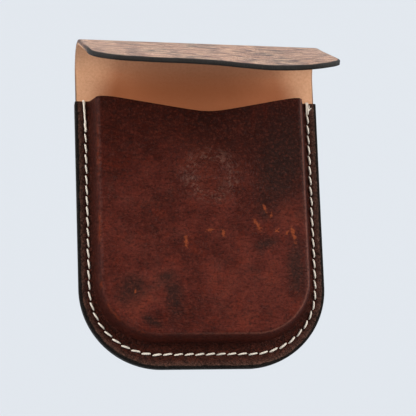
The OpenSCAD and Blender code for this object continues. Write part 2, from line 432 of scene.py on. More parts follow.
def backLayer(name, depth, thickness, counts, splitAt, rows=30, faceRows=14, detail=True):
    # back panel up to a line part of the way round the bend, as a U-shaped grid
    top = bend["start"] + arcLength * splitAt
    edgeLine, _ = uContour(case["halfWidth"], case["low"], case["cornerRadius"], top, counts)
    start, _ = uContour(case["halfWidth"] - backBand["side"], case["low"] + backBand["bottom"],
                        backBand["radius"], top, counts)
    spine = uSpine(top, counts)
    f = np.linspace(0, 1, rows, endpoint=False)[None, :, None]
    w = np.linspace(0, 1, faceRows + 1)[None, :, None]
    flat = np.concatenate([edgeLine[:, None] + (start - edgeLine)[:, None] * f,
                           start[:, None] + (spine - start)[:, None] * w], 1)
    x, s = flat[..., 0], flat[..., 1]
    x = x * halfWidthAt(s) / case["halfWidth"]
    s = s - x * bend["skew"] * smooth((s - case["mouth"]) / 8)
    width = gap(edgeLine, start)
    edge = np.concatenate([width * f[..., 0], width + gap(start, spine) * w[..., 0]], 1)
    sink = seamSink(x, s, groove=0.5, hole=0.3) + 0.45 * roundOver(edge) if detail else np.zeros_like(x)
    outer = bendPlace(x, s, depth + sink)
    inner = bendPlace(x, s, np.full_like(x, depth + thickness))
    path = rimPath(*x.shape, "u")
    real = (path[:, 1] == 0) & (path[:, 0] > 0) & (path[:, 0] < x.shape[0] - 1)
    develop = np.stack([x, s, s * 0], -1)
    return slab(name, outer, inner, develop, edge, path, False, np.where(real, thickness * 0.12, 0.0))


def stripLayer(name, depth, thickness, fromAt, toAt, columns=90, rows=26, drop=0.0):
    # a stretch of the bend, and of the flap if toAt is past it; fromAt and toAt are along the bend, 1 its
    # end, and drop is how far the cut edges are rounded over
    flap = toAt > 1
    if flap:  # rows crowd round the flap's two corners, where the outline turns
        end = arcLength + bend["flapLength"]
        straight = np.linspace(fromAt * arcLength, end - bend["flapCorner"], rows, endpoint=False)
        a = np.linspace(0, math.pi / 2, 16)
        q = np.concatenate([straight, end - bend["flapCorner"] * (1 - np.sin(a))])
        narrow = np.concatenate([np.zeros(rows), bend["flapCorner"] * (1 - np.cos(a))])
    else:
        q = np.linspace(fromAt, toAt, rows) * arcLength
        narrow = np.zeros(rows)
    half = bend["neckHalfWidth"] - narrow
    u = np.linspace(-1, 1, columns)
    u = np.sign(u) * (1 - (1 - np.abs(u)) ** 1.25)  # columns crowd towards the cut edges
    x = u[:, None] * half[None, :]
    tip = smooth((q - arcLength) / bend["flapLength"])[None, :]
    s = bend["start"] - x * bend["skew"] + q[None, :]
    if flap:
        s = s + wander(x, 3.0) * tip ** 6 * smooth((bend["neckHalfWidth"] - np.abs(x)) / 4)
        x = x + np.where(x > 0, wander(s, 1.0), wander(s, 5.0)) * np.abs(u[:, None]) ** 8 * smooth(tip * 4)
        corner = bend["flapCorner"]
        cx = np.abs(x) - (bend["neckHalfWidth"] - corner)
        cy = q[None, :] - (end - corner)
        edge = np.where((cx > 0) & (cy > 0), corner - np.hypot(cx, cy),
                        np.minimum(bend["neckHalfWidth"] - np.abs(x), end - q[None, :]))
    else:
        edge = half[None, :] - np.abs(x)
    edge = np.maximum(edge, 0)
    sink = drop * roundOver(edge)
    outer = bendPlace(x, s, depth + sink)
    inner = bendPlace(x, s, np.full_like(x, depth + thickness))
    path = rimPath(*x.shape, "rect")
    i, j = path[:, 0], path[:, 1]
    real = (i == 0) | (i == x.shape[0] - 1) | ((j == x.shape[1] - 1) & flap)
    real &= (j > 0) & ((j < x.shape[1] - 1) | flap)
    develop = np.stack([x, s, s * 0], -1)
    return slab(name, outer, inner, develop, edge, path, True, np.where(real, thickness * 0.12, 0.0))


# The thread.

def seamPoint(run):
    # place on the seam line, and the outward direction there, at a run from the mouth on the left
    half = np.where(run < seam["length"] / 2, run, seam["length"] - run)
    angle = np.clip((half - seam["sideRun"]) / seam["radius"], 0, math.pi / 2)
    side = half < seam["sideRun"]
    base = half > seam["sideRun"] + seam["turnRun"]
    x = bySection(side, base, seam["x"], seam["turnX"] + seam["radius"] * np.cos(angle),
                  seam["length"] / 2 - half)
    y = bySection(side, base, case["mouth"] - half, seam["turnY"] - seam["radius"] * np.sin(angle),
                  case["low"] + seam["bottom"])
    outX = bySection(side, base, 1.0, np.cos(angle), 0.0)
    outY = bySection(side, base, 0.0, -np.sin(angle), -1.0)
    sign = np.where(run < seam["length"] / 2, -1.0, 1.0)
    return np.stack([x * sign, y], -1), np.stack([outX * sign, outY], -1)


def tube(centre, radius, sides=8):
    # rings of points round a centreline, centre + radius * (cos(a) across + sin(a) up), squared to it
    tangent = unit(np.gradient(centre, axis=0))
    up = np.array([0.0, 0.0, 1.0])
    across = unit(np.cross(tangent, up) + np.array([1e-6, 0, 0]))
    normal = np.cross(across, tangent)
    a = np.arange(sides) / sides * 2 * math.pi
    ring = across[:, None] * np.cos(a)[None, :, None] + normal[:, None] * np.sin(a)[None, :, None]
    return centre[:, None] + ring * np.asarray(radius).reshape(-1, 1, 1)


def tubeMesh(name, lines, sides=8):
    # each line is (centre points, radii); ends are closed by a point; uv is (length, way round)
    points, faces, uvs, start = [], [], [], 0
    for centre, radius in lines:
        n = len(centre)
        body = tube(centre, radius, sides).reshape(-1, 3)
        index = np.arange(n * sides).reshape(n, sides) + start
        ring = np.hstack([index, index[:, :1]])
        faces.append(quadsOf(ring))
        for end, order in ((0, 1), (n - 1, -1)):
            cap = start + n * sides + (0 if end == 0 else 1)
            loop = np.append(index[end], index[end][0])[::order]
            faces.append(np.stack([loop[:-1], np.full(sides, cap), np.full(sides, cap), loop[1:]], 1))
        length = np.concatenate([[0], np.cumsum(np.linalg.norm(np.diff(centre, axis=0), axis=1))])
        around = np.tile(np.arange(sides) / sides, n)
        uvs.append(np.stack([np.repeat(length, sides), around * 1000], 1))
        uvs.append(np.array([[0, 0], [length[-1], 0]]))
        points += [body, centre[[0, -1]]]
        start += n * sides + 2
    return makeMesh(name, np.vstack(points), np.vstack(faces), {}, np.vstack(uvs), sharpAngle=80)


def stitchLine(k, level, sink, flip, rng):
    # one stitch between two holes: rises out of one, lies on the leather, slants across, dives into the next
    f = np.linspace(0, 1, 11)
    run = (k + 0.08 + 0.84 * f) * seam["pitch"]
    place, out = seamPoint(run)
    place = place + out * (seam["slant"] * (1 - 2 * f) + rng.normal(0, 0.04))[:, None]
    arch = 1 - np.abs(2 * f - 1) ** 4
    z = level + flip * (-sink + (sink + 0.16) * arch)
    radius = seam["thread"] / 2 * (0.55 + 0.45 * arch) * rng.uniform(0.92, 1.1)
    return np.column_stack([place, z]), radius


def overEdge(shift, sway):
    # the seam's end on the right: thread that comes up beside the first hole and wraps over the border's
    # top edge, on straight stretches between a few points in y and z
    t = np.linspace(0, 1, 16)
    x = seam["x"] + shift + sway * np.sin(t * 3.1)
    overY = (-3.9, -3.4, -1.8, -0.2, 0.42, 0.48, 0.45)
    overZ = (flangeZ - 0.5, flangeZ + 0.24, flangeZ + 0.34, flangeZ + 0.26, flangeZ - 0.35, panelT + 1.0,
             panelT - 0.3)
    knots = np.linspace(0, 1, len(overY))
    line = np.column_stack([x, case["mouth"] + np.interp(t, knots, overY), np.interp(t, knots, overZ)])
    return line, np.full(16, seam["thread"] / 2 * 0.92)


def doubled(sewn=11.2):
    # on the left the last holes are sewn twice, which closes the gaps between the stitches: two lines side
    # by side from over the top edge down to sewn millimetres, each lumpy by a sine of one and a half waves
    # a stitch
    t = np.linspace(0, 1, 60)
    knots = (0, 0.04, 0.08, 0.12, 0.96, 1)
    y = case["mouth"] + np.interp(t, (0, 0.04, 0.08, 0.12, 1), (0.45, 0.48, 0.42, -0.2, -sewn))
    z = np.interp(t, knots, (panelT - 0.3, panelT + 1.0, flangeZ - 0.35, flangeZ + 0.26, flangeZ + 0.2,
                             flangeZ - 0.5))
    lumps = np.sin(t * sewn / seam["pitch"] * 2 * math.pi * 1.5 + 0.6)
    outer = np.column_stack([-seam["x"] - 0.55 + 0.75 * t + 0.05 * lumps, y, z + 0.04 * lumps])
    inner = np.column_stack([-seam["x"] - 0.25 + 0.3 * t - 0.06 * lumps, y, z - 0.12])
    half = seam["thread"] / 2
    return [(outer, half * (1.02 + 0.1 * lumps)), (inner, half * (0.9 - 0.08 * lumps))]


def looseEnd(below, above, step, thick, thin):
    # one frayed ply at the right end of the seam: straight by step from a point below the mouth and above
    # the border, and tapering
    t = np.linspace(0, 1, 6)
    start = np.array([seam["x"] + 0.5, case["mouth"] - below, flangeZ + above])
    return start + t[:, None] * step, thick - (thick - thin) * t


def makeThread():
    # both rows of stitches, with the first two and the last on the front sewn over as they are at the ends
    rng = np.random.default_rng(7)
    lines = [stitchLine(k, flangeZ + 0.02, 0.75, 1, rng) for k in range(2, seam["stitches"] - 1)]
    lines += [stitchLine(k, 0.36, 0.3, -1, rng) for k in range(seam["stitches"])]
    lines += [overEdge(-0.3, 0.05), overEdge(0.34, -0.08), *doubled()]
    lines += [looseEnd(2.7, 0.25, (1.15, 1.1, 0.3), 0.26, 0.14)]
    lines += [looseEnd(2.6, 0.3, (0.5, 1.9, 0.2), 0.22, 0.12)]
    return tubeMesh("seamThread", lines)


# Materials.

def linear(hexColour):  # sRGB hex to linear RGBA: ((c + 0.055) / 1.055) ^ 2.4, or c / 12.92 when dark
    c = np.array([int(hexColour[i:i + 2], 16) for i in (1, 3, 5)]) / 255
    c = np.where(c <= 0.04045, c / 12.92, ((c + 0.055) / 1.055) ** 2.4)
    return (*c.tolist(), 1.0)


def setInputs(node, inputs):
    # inputs by number, or by name with underscores for spaces; each a number, a colour or a node's output
    for key, value in inputs.items():
        socket = node.inputs[key if isinstance(key, int) else key.replace("_", " ")]
        if isinstance(value, bpy.types.NodeSocket):
            node.id_data.links.new(value, socket)
        else:
            socket.default_value = value


def addNode(tree, kind, inputs=(), out=0, ramp=(), **named):
    # one node, and one of its outputs given back: inputs are listed in the node's order, numbered, or
    # named with a capital, and the other names are the node's settings
    node = tree.nodes.new("ShaderNode" + kind)
    for key, value in named.items():
        if key[0].islower():
            setattr(node, key, value)
    if ramp:
        stops = node.color_ramp.elements
        while len(stops) < len(ramp):
            stops.new(0.5)
        for stop, (at, colour) in zip(stops, ramp):
            stop.position = at
            stop.color = linear(colour) if isinstance(colour, str) else (colour, colour, colour, 1)
    setInputs(node, inputs if isinstance(inputs, dict) else dict(enumerate(inputs)))
    setInputs(node, {key: value for key, value in named.items() if key[0].isupper()})
    return node.outputs[out] if node.outputs else None


def newMaterial(name, **inputs):
    # a material, the function that adds a node to it, and its shader, whose other inputs come later
    material = bpy.data.materials.new(name)
    material.use_nodes = True
    tree = material.node_tree
    tree.nodes.clear()
    add = functools.partial(addNode, tree)
    surface = add("BsdfPrincipled", IOR=1.5, **inputs)
    add("OutputMaterial", Surface=surface)
    return material, add, surface.node


soft = dict(interpolation_type="SMOOTHSTEP")  # a value brought to 0..1 eases in and out


def perMm(size):  # texture scale that gives features of this many millimetres
    return 1000.0 / size


def coat(add, colour, coats):  # lays dyes over a colour in turn, each where its mask is 1
    for mask, dye in coats:
        colour = add("Mix", {0: mask, 6: colour, 7: linear(dye)}, out=2, data_type="RGBA")
    return colour


def product(add, total, *others):  # masks multiplied together
    for mask in others:
        total = add("Math", [total, mask], operation="MULTIPLY")
    return total


def window(add, value, low, high, top, stops):
    # a value brought to 0..1 between low and high, then shaped by a ramp of (place, share of top)
    place = add("MapRange", [value, low, high])
    return add("ValToRGB", [place], ramp=[(at, share * top) for at, share in stops])


def noiseMask(add, coords, sizeMm, low, high, top=1.0, detail=5.0, rough=0.6, distort=0.0):
    # noise with features of a size, stretched so that low gives 0 and high gives top
    noise = add("TexNoise", Vector=coords, Scale=perMm(sizeMm), Detail=detail,
                                       Roughness=rough, Distortion=distort)
    return add("MapRange", [noise, low, high, 0.0, top])


def grainHeight(add, coords, cellMm, foldMm):
    # pebbled grain: smoothstep of the distance to the edge of rounded cells, plus slow unevenness
    warp = add("TexNoise", Vector=coords, Scale=perMm(cellMm * 3), Detail=2.0, out="Color")
    pushed = add("VectorMath", {0: warp, "Scale": cellMm * mm * 0.8}, operation="SCALE")
    moved = add("VectorMath", [coords, pushed], operation="ADD")
    cells = add("TexVoronoi", Vector=moved, Scale=perMm(cellMm), out="Distance", feature="DISTANCE_TO_EDGE")
    rounded = add("MapRange", [cells, 0.0, 0.22], **soft)
    folds = add("TexNoise", Vector=coords, Scale=perMm(foldMm), Detail=5.0, Roughness=0.6)
    return add("Math", [folds, rounded], operation="ADD")


def paintEdge(add, colour, coords, reach, stray, paint="#130f0c", worn=False):
    # black burnish on the cut edge: 1 up to reach millimetres in, straying by noise, then a soft end;
    # round the bend it is worn down to 0.3
    edge = add("Attribute", out="Fac", attribute_name="edgeMm")
    rough = add("TexNoise", Vector=coords, Scale=perMm(2.6), Detail=3.0)
    shift = add("Math", [rough, stray * 2, edge], operation="MULTIPLY_ADD")
    mask = add("MapRange", [shift, reach + stray, reach + stray + 0.35, 1.0, 0.0], **soft)
    if worn:
        run = add("SeparateXYZ", [coords], out="Y")
        fromBend = add("Math", [run, (bend["start"] + arcLength) * mm], operation="SUBTRACT")
        far = add("Math", [fromBend], operation="ABSOLUTE")
        mask = product(add, mask, add("MapRange", [far, 14 * mm, 32 * mm, 0.3]))
    return coat(add, colour, [(mask, paint)]), mask


def spots(add, coords, places, core, reach):
    # strongest of several soft ellipses: each falls from 1 to 0 as the point's length, in the ellipse's
    # own half axes, goes from core to reach
    total = 0.0
    for x, y, angle, length, width in places:
        place = add("Mapping",  Vector=coords, Location=(x * mm, y * mm, case["frontZ"] * mm),
            Rotation=(0, 0, math.radians(angle)), Scale=(length / 2 * mm, width / 2 * mm, 9 * mm),
            vector_type="TEXTURE")
        far = add("VectorMath", [place], out="Value", operation="LENGTH")
        spot = add("MapRange", [far, core, reach, 1.0, 0.0])
        total = add("Math", [total, spot], operation="MAXIMUM")
    return total


scuffs = [  # place in x and y from the pocket's middle, angle, length and width in mm
    (19.4, 1.4, 120, 6.4, 2.4), (32.5, -1.8, 103, 8.0, 2.2), (-7.1, -4.4, 92, 6.4, 2.0),
    (22.3, 7.6, 100, 5.0, 1.5), (6.5, -1.6, 110, 4.0, 2.0), (1.4, -0.6, 15, 5.0, 1.6),
    (30.2, -1.6, 60, 3.0, 1.4), (24.6, 5.2, 70, 2.6, 1.2), (26.4, -0.6, 40, 3.4, 0.8),
    (26.4, -0.6, 150, 3.2, 0.8), (-26.0, -23.0, 70, 3.4, 1.3),
]
smudges = [  # the same for darker patches of dye
    (-27.4, -22.0, 40, 15, 12), (-12.0, -24.5, 97, 19, 8), (-14.5, -17.5, 20, 7, 4), (33.5, -14.0, 88, 27, 9),
    (22.0, -5.5, 20, 11, 5), (29.0, 24.0, 75, 40, 20), (-20.0, -33.5, 150, 10, 4),
]


def frontPlaces(add, coords):
    # where things are on the front: x and y, the distance in from the wall's foot and out from the seam,
    # the share of the border, and the sides
    x, y = (add("SeparateXYZ", [coords], out=axis) for axis in "XY")
    foot, outside = (add("Attribute", out="Fac", attribute_name=key) for key in ("footMm", "outMm"))
    return dict(
        x=x, y=y, foot=foot, outside=outside,
        border=add("MapRange", [foot, -0.8, 0.9, 0.85, 0.0], **soft),
        left=add("MapRange", [x, 0.0, -40 * mm]),
        right=add("MapRange", [x, -30 * mm, 34 * mm, 0.05, 0.75]),
        farRight=add("MapRange", [x, 10 * mm, 42 * mm]),
        low=add("MapRange", [y, -34 * mm, -41 * mm]),
    )


def mouthShadeAndDye(add, coords, place):
    # painted shadow of the flap, darkening towards the mouth and most on the right, and drag marks of dye
    # drawn out along y
    slant = add("Math", [place["x"], 0.34, place["y"]], operation="MULTIPLY_ADD")
    flapShadow = add("MapRange", [slant, (case["mouth"] - 42) * mm, (case["mouth"] - 8) * mm, 0.0, 0.8], **soft)
    drawn = add("Mapping", Vector=coords, Scale=(1.0, 0.12, 1.0))
    near = add("MapRange", [place["y"], 18 * mm, 42 * mm])
    # the first coat is painted shade that stands for the flap's shadow; the second is dye
    return [(flapShadow, "#220803"), (product(add, noiseMask(add, drawn, 2.2, 0.52, 0.7, 0.55), near), "#4c160c")]


def borderDyeAndPaintedLight(add, coords, place):
    # red-brown border, paler past the seam, rubbed ridges; painted shade on the left, in the fold and on the
    # wall; painted highlights on the right, the ridges and the bottom wall
    foot = place["foot"]
    beyond = window(add, place["outside"], -1.0, 3.0, 0.6, [(0.2, 0), (0.45, 0.8), (1, 1)])
    fold = window(add, foot, -3.0, 5.0, 0.4, [(0.0, 0.0), (0.28, 0.4), (0.40, 1), (0.50, 0.7), (0.60, 0)])
    ridge = window(add, foot, 0.0, 6.0, 1.0, [(0.3, 0), (0.38, 1), (0.46, 0)])
    wall = window(add, foot, 0.0, 6.0, 0.7, [(0, 1), (0.28, 0.9), (0.4, 0)])
    leftRidgeRubAndHighlight = window(add, foot, 0.0, 6.0, 1.0, [(0.2, 0), (0.32, 1), (0.44, 0)])
    broken = noiseMask(add, coords, 7, 0.48, 0.62, 0.7, 6, 0.7)
    lowWallHighlight = window(add, foot, 0.0, 6.0, 0.42, [(0.02, 0), (0.12, 1), (0.30, 0.6), (0.36, 0)])
    return [
        (place["border"], "#723c2e"),
        # the border darker on the left: painted shade
        (product(add, place["border"], place["left"]), "#53291d"),
        (beyond, "#5f4035"),
        # palest past the seam on the right: painted highlight from the right lamp
        (product(add, beyond, place["farRight"]), "#8f6558"),
        # dark in the fold at the wall's foot: painted shade
        (fold, "#200a06"),
        # a light line along the right ridge: painted highlight, with some rubbing
        (product(add, ridge, place["right"]), "#7e5042"),
        # the wall darkened on both sides: painted shade
        (wall, "#35120b"),
        # a broken red line along the left ridge: partly rubbing, partly a painted highlight
        (product(add, leftRidgeRubAndHighlight, broken, place["left"]), "#7c3216"),
        # a red band low on the bottom wall: painted highlight
        (product(add, lowWallHighlight, place["low"]), "#6c2a1a"),
    ]


def scuffMask(add, coords):
    # ragged bare marks: 2.6 * noise + ellipse, cut between 1.78 and 2.15, and only inside the ellipses
    ragged = add("TexNoise", Vector=coords, Scale=perMm(1.3), Detail=6.0, Roughness=0.75)
    wide = spots(add, coords, scuffs, 0.0, 1.5)
    bare = add("Math", [ragged, 2.6, wide], operation="MULTIPLY_ADD")
    inside = add("MapRange", [spots(add, coords, scuffs, 0.3, 1.5), 0.0, 0.2])
    return product(add, add("MapRange", [bare, 1.78, 2.15, 0.0, 0.75]), inside)


def creaseNormal(add, coords, normal):
    # closed creases round the print of the disc, sine of the distance pushed by slow noise and fading
    # outwards, then hair-fine creases that sweep across the upper half
    pull = add("TexNoise", Vector=coords, Scale=perMm(9), Detail=3.0, out="Color")
    shift = add("VectorMath", {0: pull, "Scale": 7 * mm}, operation="SCALE")
    moved = add("VectorMath", [coords, shift], operation="ADD")
    middle = tuple(c * mm + 3.5 * mm for c in printAt)
    ring = add("VectorMath", [moved, middle], out="Value", operation="DISTANCE")
    turns = add("Math", [ring, 2 * math.pi / (1.05 * mm)], operation="MULTIPLY")
    wave = add("Math", [turns], operation="SINE")
    near = window(add, ring, 0.0, 34 * mm, 1.0,
                  [(0.0, 0.5), (0.12, 0.8), (0.24, 1.0), (0.34, 0.5), (0.6, 0.2), (1, 0)])
    strength = product(add, near, noiseMask(add, coords, 3.0, 0.35, 0.65))
    normal = add("Bump", Height=wave, Distance=0.2 * mm, Strength=strength, Normal=normal)
    swept = add("Mapping", Vector=moved, Rotation=(0, 0, math.radians(28)), Scale=(0.22, 1.0, 1.0))
    hair = add("TexNoise", Vector=swept, Scale=perMm(1.5), Detail=3.0, Distortion=0.6)
    line = add("ValToRGB", [hair], ramp=[(0.46, 1.0), (0.5, 0.0), (0.54, 1.0)])
    return add("Bump", Height=line, Distance=0.2 * mm, Strength=0.8, Normal=normal)


def hideFront():
    # Waxed bridle hide, wet moulded and hand dyed: a softly glossy face, uneven dye, red where it has rubbed
    # thin, and bare orange scuffs; painted shade darkens it near the mouth and the foot, and painted
    # highlights lie on the ridges and the border.
    material, add, shader = newMaterial("hideFront", Specular_IOR_Level=0.09)
    coords = add("TexCoord", out="Object")
    place = frontPlaces(add, coords)
    broad = add("TexNoise", Vector=coords, Scale=perMm(17), Detail=8.0, Roughness=0.66, Distortion=0.15)
    colour = add("ValToRGB", [broad],
                     ramp=[(0.30, "#31110b"), (0.44, "#431710"), (0.56, "#55221a"), (0.70, "#642b1f")])
    torn = add("TexNoise", Vector=coords, Scale=perMm(4.2), Detail=7.0, Roughness=0.7, Distortion=0.5)
    patch = product(add, spots(add, coords, smudges, 0.0, 1.3), torn)
    middle = tuple(c * mm for c in printAt)
    fromPrint = add("VectorMath", [coords, middle], out="Value", operation="DISTANCE")
    ring = window(add, fromPrint, 0.0, 16 * mm, 1.0, [(0.28, 0), (0.44, 0.8), (0.52, 0.7), (0.75, 0)])
    bare = scuffMask(add, coords)
    edge = add("Attribute", out="Fac", attribute_name="edgeMm")
    # crinkles where the border was pressed round the corners: thin dark folds with pale sides
    crinkle = add("TexNoise", Vector=coords, Scale=perMm(2.4), Detail=5.0, Roughness=0.62, Distortion=0.9)
    thin = window(add, crinkle, 0.0, 1.0, 1.0, [(0.44, 0), (0.49, 1), (0.52, 0)])
    folded = product(add, thin, place["border"])
    colour = coat(add, colour, [
        (noiseMask(add, coords, 7, 0.51, 0.70, 0.46, 7, 0.72), "#6b2412"),
        (noiseMask(add, coords, 11, 0.54, 0.74, 0.6, 6, 0.65, 0.3), "#3c2620"),
        *mouthShadeAndDye(add, coords, place),
        (add("MapRange", [patch, 0.06, 0.36, 0.0, 0.84]), "#261511"),
        *borderDyeAndPaintedLight(add, coords, place),
        (noiseMask(add, coords, 0.9, 0.48, 0.70, 0.68, 4), "#1c0907"),
        (noiseMask(add, coords, 1.0, 0.5, 0.8, 0.52, 5, 0.75), "#7d3d2e"),
        (bare, "#8e4527"),
        # pale broken strokes round the disc's print: painted highlight on its raised ring
        (product(add, ring, noiseMask(add, coords, 1.3, 0.49, 0.62, 0.58, 6, 0.7)), "#7e5b50"),
        # a paler band just inside the cut edge: partly a worn rim, partly a painted highlight on its rounding
        (window(add, edge, 0.6, 3.0, 0.5, [(0, 0.8), (0.2, 1), (0.5, 0.5), (1, 0)]), "#74584c"),
        (folded, "#24110c"),
    ])
    colour, _ = paintEdge(add, colour, coords, 0.75, 0.5, paint="#1b1613")

    onBorder = add("MapRange", [place["foot"], -1.0, 2.5, 1.0, 0.22])
    normal = add("Bump", Height=grainHeight(add, coords, 0.9, 5.0), Distance=0.36 * mm, Strength=onBorder)
    normal = add("Bump", Height=folded, Distance=0.3 * mm, Strength=0.8, Normal=normal, invert=True)
    gloss = add("MapRange", [broad, 0.3, 0.7, 0.40, 0.56])
    dull = add("Math", [bare, 0.3, gloss], operation="MULTIPLY_ADD", use_clamp=True)
    normal = creaseNormal(add, coords, normal)
    setInputs(shader, dict(Base_Color=colour, Roughness=dull, Normal=normal))
    return material


tones = dict(  # dark, middle and pale dye, then strength of the wrinkles and of the sheen
    back=("#2f150f", "#4b251c", "#5d3327", 0.4, 0.3),
    # the flap's paler dyes are a painted reflection: the wax's pale glancing sheen laid into its colour
    flap=("#301409", "#663423", "#885440", 0.82, 1.0),
)


def hideBack():
    # The same waxed hide on the back, the bend and the flap, paler from the bend on with a painted
    # reflection, the pale glancing sheen of its wax laid into the colour; wrinkles and drawn grain run across
    # it, and the wax gives it a pale sheen at a glancing angle.
    material, add, shader = newMaterial("hideBack", Sheen_Roughness=0.3, Sheen_Tint=linear("#f6d3b8"))
    coords = add("UVMap", uv_map="UVMap")
    run = add("SeparateXYZ", [coords], out="Y")
    toFlap = add("MapRange", [run, (bend["start"] - 8) * mm, (bend["start"] + arcLength) * mm], **soft)
    streak, sheen = (add("MapRange", [toFlap, 0.0, 1.0, tones["back"][k], tones["flap"][k]])
                     for k in (3, 4))
    broad = add("TexNoise", Vector=coords, Scale=perMm(15), Detail=7.0, Roughness=0.62, Distortion=0.2)
    dyed = [add("ValToRGB", [broad], ramp=list(zip((0.32, 0.5, 0.7), tones[side][:3])))
            for side in ("back", "flap")]
    # paler from the bend on: painted reflection
    colour = add("Mix", {0: toFlap, 6: dyed[0], 7: dyed[1]}, out=2, data_type="RGBA")
    drawn = add("Mapping", Vector=coords, Scale=(0.34, 1.0, 1.0))
    wrinkle = add("TexNoise", Vector=drawn, Scale=perMm(2.1), Detail=6.0, Roughness=0.62, Distortion=0.6)
    valley = product(add, add("MapRange", [wrinkle, 0.50, 0.58]),
                     noiseMask(add, coords, 10, 0.35, 0.65), streak)
    dark = tones["back"][0]
    colour = coat(add, colour, [(valley, dark), (noiseMask(add, coords, 0.9, 0.5, 0.74, 0.4, 4), dark)])
    colour, painted = paintEdge(add, colour, coords, 0.45, 0.3, worn=True)
    unpainted = add("Math", [1.0, painted], operation="SUBTRACT")
    crest = add("MapRange", [wrinkle, 0.59, 0.45])
    grain = add("Bump", Height=grainHeight(add, coords, 1.0, 4.0), Distance=0.14 * mm, Strength=0.5)
    lines = add("Bump", Height=wrinkle, Distance=0.8 * mm, Normal=grain,
                                   Strength=product(add, unpainted, streak))
    dull = add("Math", [painted, 0.3, 0.42], operation="MULTIPLY_ADD")
    setInputs(shader, dict(Base_Color=colour, Roughness=dull, Normal=lines,
                             Sheen_Weight=product(add, unpainted, crest, sheen)))
    return material


def liningLeather():
    # Undyed vegetable-tanned calf, shaved thin and slicked smooth: matt tan, faintly mottled, hardly any
    # grain, and darker in the middle towards the pocket's mouth, painted shade where the flap and the pocket
    # keep the light off.
    material, add, shader = newMaterial("liningLeather", Roughness=0.6, Specular_IOR_Level=0.25)
    coords = add("UVMap", uv_map="UVMap")
    broad = add("TexNoise", Vector=coords, Scale=perMm(30), Detail=5.0, Roughness=0.55)
    colour = add("ValToRGB", [broad], ramp=[(0.3, "#deac88"), (0.55, "#e8b793"), (0.75, "#efc3a2")])
    fibre = add("TexNoise", Vector=coords, Scale=perMm(1.0), Detail=4.0, Roughness=0.7)
    # the painted shade narrows upwards: abs(x - 0.5 mm) + y / 4
    x, y = (add("SeparateXYZ", [coords], out=axis) for axis in "XY")
    offMiddle = add("Math", [x, 0.5 * mm], operation="SUBTRACT")
    aside = add("Math", [offMiddle], operation="ABSOLUTE")
    aside = add("Math", [y, 0.25, aside], operation="MULTIPLY_ADD")
    shadeInMiddle = add("MapRange", [aside, 54.8 * mm, 43 * mm, 0.0, 0.92], **soft)
    shadeTowardsMouth = add("MapRange", [y, 74 * mm, 53 * mm], **soft)
    colour = coat(add, colour, [(add("MapRange", [fibre, 0.42, 0.68, 0.0, 0.6]), "#cd9670"),
                                 (product(add, shadeInMiddle, shadeTowardsMouth), "#aa663e")])
    colour, _ = paintEdge(add, colour, coords, 0.1, 0.1, worn=True)
    nap = add("Bump", Height=fibre, Distance=0.08 * mm, Strength=0.4)
    slack = add("TexNoise", Vector=coords, Scale=perMm(7), Detail=4.0)
    normal = add("Bump", Height=slack, Distance=0.7 * mm, Strength=0.4, Normal=nap)
    setInputs(shader, dict(Base_Color=colour, Normal=normal))
    return material


def waxedThread():
    # Waxed linen thread, three plies twisted: cream, softly shiny, with dark lines between the plies.
    # height = sine of 3 turns for each turn round plus one for every 1.6 mm along
    material, add, shader = newMaterial("waxedThread", Specular_IOR_Level=0.4)
    coords = add("UVMap", uv_map="UVMap")
    length, around = (add("SeparateXYZ", [coords], out=axis) for axis in "XY")
    along = add("Math", [length, perMm(1.6), around], operation="MULTIPLY_ADD")
    wave = add("Math", [product(add, along, 3 * 2 * math.pi)], operation="SINE")
    height = add("MapRange", [wave, -1.0])
    colour = add("ValToRGB", [height], ramp=[(0.0, "#d9c9b0"), (0.35, "#f7efe2"), (1.0, "#fffaf2")])
    bump = add("Bump", Height=height, Distance=0.12 * mm, Strength=0.7)
    setInputs(shader, dict(Base_Color=colour, Normal=bump))
    return material


def platedSteel():
    # Nickel-plated steel disc, ground flat: grey metal, faintly mottled.
    material, add, shader = newMaterial("platedSteel", Roughness=0.35, Metallic=1.0)
    coords = add("TexCoord", out="Object")
    lay = add("TexNoise", Vector=coords, Scale=perMm(0.5), Detail=4.0)
    colour = add("ValToRGB", [lay], ramp=[(0.3, "#8f9498"), (0.7, "#b4b8ba")])
    setInputs(shader, dict(Base_Color=colour))
    return material


def paleFloor():
    # Plain matt card with a faint glow of its own, so that the object's shadow stays weak.
    return newMaterial("paleFloor", Roughness=0.9, Specular_IOR_Level=0.1, Base_Color=linear("#989ea4"),
                       Emission_Color=linear("#e0e5ec"), Emission_Strength=0.6)[0]


# Camera, lamps and floor.

camera = dict(
    azimuth=-9.75, elevation=-12.5,     # degrees off the front's own normal: from the left and from below
    roll=-1.98, distance=800.0, lens=188.8,
    target=(0.0, 10.65, 1.0), aim=(3.35, -0.39),
)


def makeCamera():
    # eye at distance along its direction from the target, turned to aim and rolled about its own line
    a, e, roll = (math.radians(camera[k]) for k in ("azimuth", "elevation", "roll"))
    back = Vector((math.sin(a) * math.cos(e), math.sin(e), math.cos(a) * math.cos(e)))
    right = Vector((0, 1, 0)).cross(back).normalized()
    up = back.cross(right)
    right, up = (right * math.cos(roll) + up * math.sin(roll), up * math.cos(roll) - right * math.sin(roll))
    place = Vector(camera["target"]) + back * camera["distance"]
    target = Vector(camera["target"]) + right * camera["aim"][0] + up * camera["aim"][1]
    back = (place - target).normalized()
    right = up.cross(back).normalized()
    up = back.cross(right)
    data = bpy.data.cameras.new("camera")
    data.lens = camera["lens"]
    data.sensor_width = 36
    data.clip_start, data.clip_end = 0.05, 20
    eye = bpy.data.objects.new("camera", data)
    eye.matrix_world = Matrix.Translation(place * mm) @ Matrix((right, up, back)).transposed().to_4x4()
    bpy.context.scene.collection.objects.link(eye)
    bpy.context.scene.camera = eye


